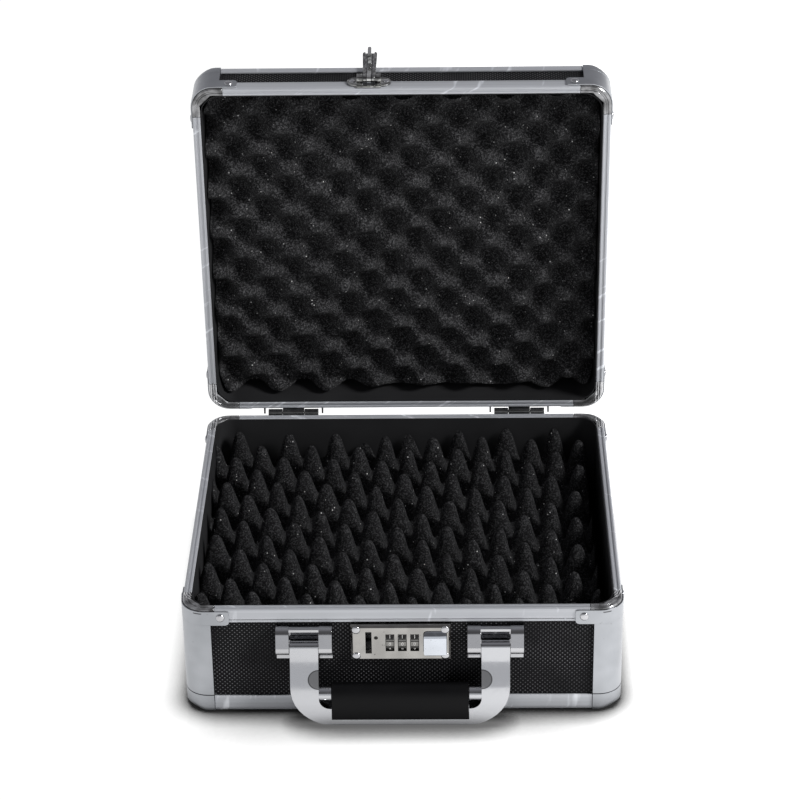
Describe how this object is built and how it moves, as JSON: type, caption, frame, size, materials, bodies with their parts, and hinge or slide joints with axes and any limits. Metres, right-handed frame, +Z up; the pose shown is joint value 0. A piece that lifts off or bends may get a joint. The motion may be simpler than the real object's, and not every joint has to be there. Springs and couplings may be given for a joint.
{
  "type": "aluminium attache case",
  "caption": "Open hard case: two aluminium-edged trays lined with convoluted foam, hinged at the back, with a hasp, combination lock and bow handle.",
  "frame": {"origin": "centre of the open case's bounding box, on the floor it stands on", "axes": "+Z up, -Y towards the front with the lock and handle, +X to the right seen from the front"},
  "size_m": [0.3322, 0.3648, 0.4107],
  "materials": {
    "brushed_aluminium": "satin extruded",
    "chrome": "polished plating",
    "steel": "plain",
    "black_panel": "fine embossed texture",
    "black_foam": "open-cell foam",
    "black_grip": "smooth satin",
    "dial_metal": "plated with dark engraving"
  },
  "bodies": {
    "base": {"base_corner_back_left": "brushed_aluminium", "base_corner_back_right": "brushed_aluminium", "base_corner_front_left": "brushed_aluminium", "base_corner_front_right": "brushed_aluminium", "base_edge_back": "brushed_aluminium", "base_edge_front": "brushed_aluminium", "base_edge_left": "brushed_aluminium", "base_edge_right": "brushed_aluminium", "base_foam_convoluted": "black_foam", "base_foam_pad": "black_foam", "base_rim_back": "brushed_aluminium", "base_rim_corner_back_left": "chrome", "base_rim_corner_back_right": "chrome", "base_rim_corner_front_left": "chrome", "base_rim_corner_front_right": "chrome", "base_rim_front": "brushed_aluminium", "base_rim_left": "brushed_aluminium", "base_rim_right": "brushed_aluminium", "base_shell": "black_panel", "handle_mount_left": "chrome", "handle_mount_right": "chrome", "handle_pin_left": "steel", "handle_pin_right": "steel", "hinge_base_leaf_left": "chrome", "hinge_base_leaf_right": "chrome", "hinge_pin_left": "steel", "hinge_pin_right": "steel", "lock_dial_axle": "steel", "lock_housing": "steel", "lock_plate": "chrome"},
    "lid": {"hasp_bracket": "chrome", "hasp_pin": "steel", "hinge_lid_leaf_left": "chrome", "hinge_lid_leaf_right": "chrome", "lid_corner_back_left": "brushed_aluminium", "lid_corner_back_right": "brushed_aluminium", "lid_corner_front_left": "brushed_aluminium", "lid_corner_front_right": "brushed_aluminium", "lid_edge_back": "brushed_aluminium", "lid_edge_front": "brushed_aluminium", "lid_edge_left": "brushed_aluminium", "lid_edge_right": "brushed_aluminium", "lid_foam_convoluted": "black_foam", "lid_rim_back": "brushed_aluminium", "lid_rim_corner_back_left": "chrome", "lid_rim_corner_back_right": "chrome", "lid_rim_corner_front_left": "chrome", "lid_rim_corner_front_right": "chrome", "lid_rim_front": "brushed_aluminium", "lid_rim_left": "brushed_aluminium", "lid_rim_right": "brushed_aluminium", "lid_shell": "black_panel"},
    "hasp": {"hasp_arm": "chrome"},
    "handle": {"handle_bow": "chrome", "handle_grip": "black_grip"},
    "lock_dial_left": {"lock_dial_left": "dial_metal"},
    "lock_dial_middle": {"lock_dial_middle": "dial_metal"},
    "lock_dial_right": {"lock_dial_right": "dial_metal"},
    "lock_button": {"lock_button": "chrome"},
    "lock_bolt": {"lock_bolt": "steel"}
  },
  "joints": [
    {"name": "lid_hinge", "type": "hinge", "parent": "base", "child": "lid", "pos_m": [0, 0.14227, 0.09325], "axis": [1, 0, 0], "range_deg": [0, 86.2]},
    {"name": "hasp_pivot", "type": "hinge", "parent": "lid", "child": "hasp", "pos_m": [-0.0253, 0.13024, 0.39882], "axis": [1, 0, 0], "range_deg": [0, 177]},
    {"name": "handle_swing", "type": "hinge", "parent": "base", "child": "handle", "pos_m": [-0.0019, -0.16573, 0.0636], "axis": [-1, 0, 0], "range_deg": [0, 95]},
    {"name": "dial_left_spin", "type": "hinge", "parent": "base", "child": "lock_dial_left", "pos_m": [-0.00925, -0.15643, 0.0655], "axis": [1, 0, 0], "continuous": true},
    {"name": "dial_middle_spin", "type": "hinge", "parent": "base", "child": "lock_dial_middle", "pos_m": [0, -0.15643, 0.0655], "axis": [1, 0, 0], "continuous": true},
    {"name": "dial_right_spin", "type": "hinge", "parent": "base", "child": "lock_dial_right", "pos_m": [0.00925, -0.15643, 0.0655], "axis": [1, 0, 0], "continuous": true},
    {"name": "button_push", "type": "slide", "parent": "base", "child": "lock_button", "axis": [0, 1, 0], "range_m": [0, 0.003], "stiffness_N_per_m": 250},
    {"name": "bolt_slide", "type": "slide", "parent": "base", "child": "lock_bolt", "axis": [-1, 0, 0], "range_m": [0, 0.002]}
  ],
  "couplings": [
    {"joint": "bolt_slide", "follows": "button_push", "ratio": 0.65}
  ]
}
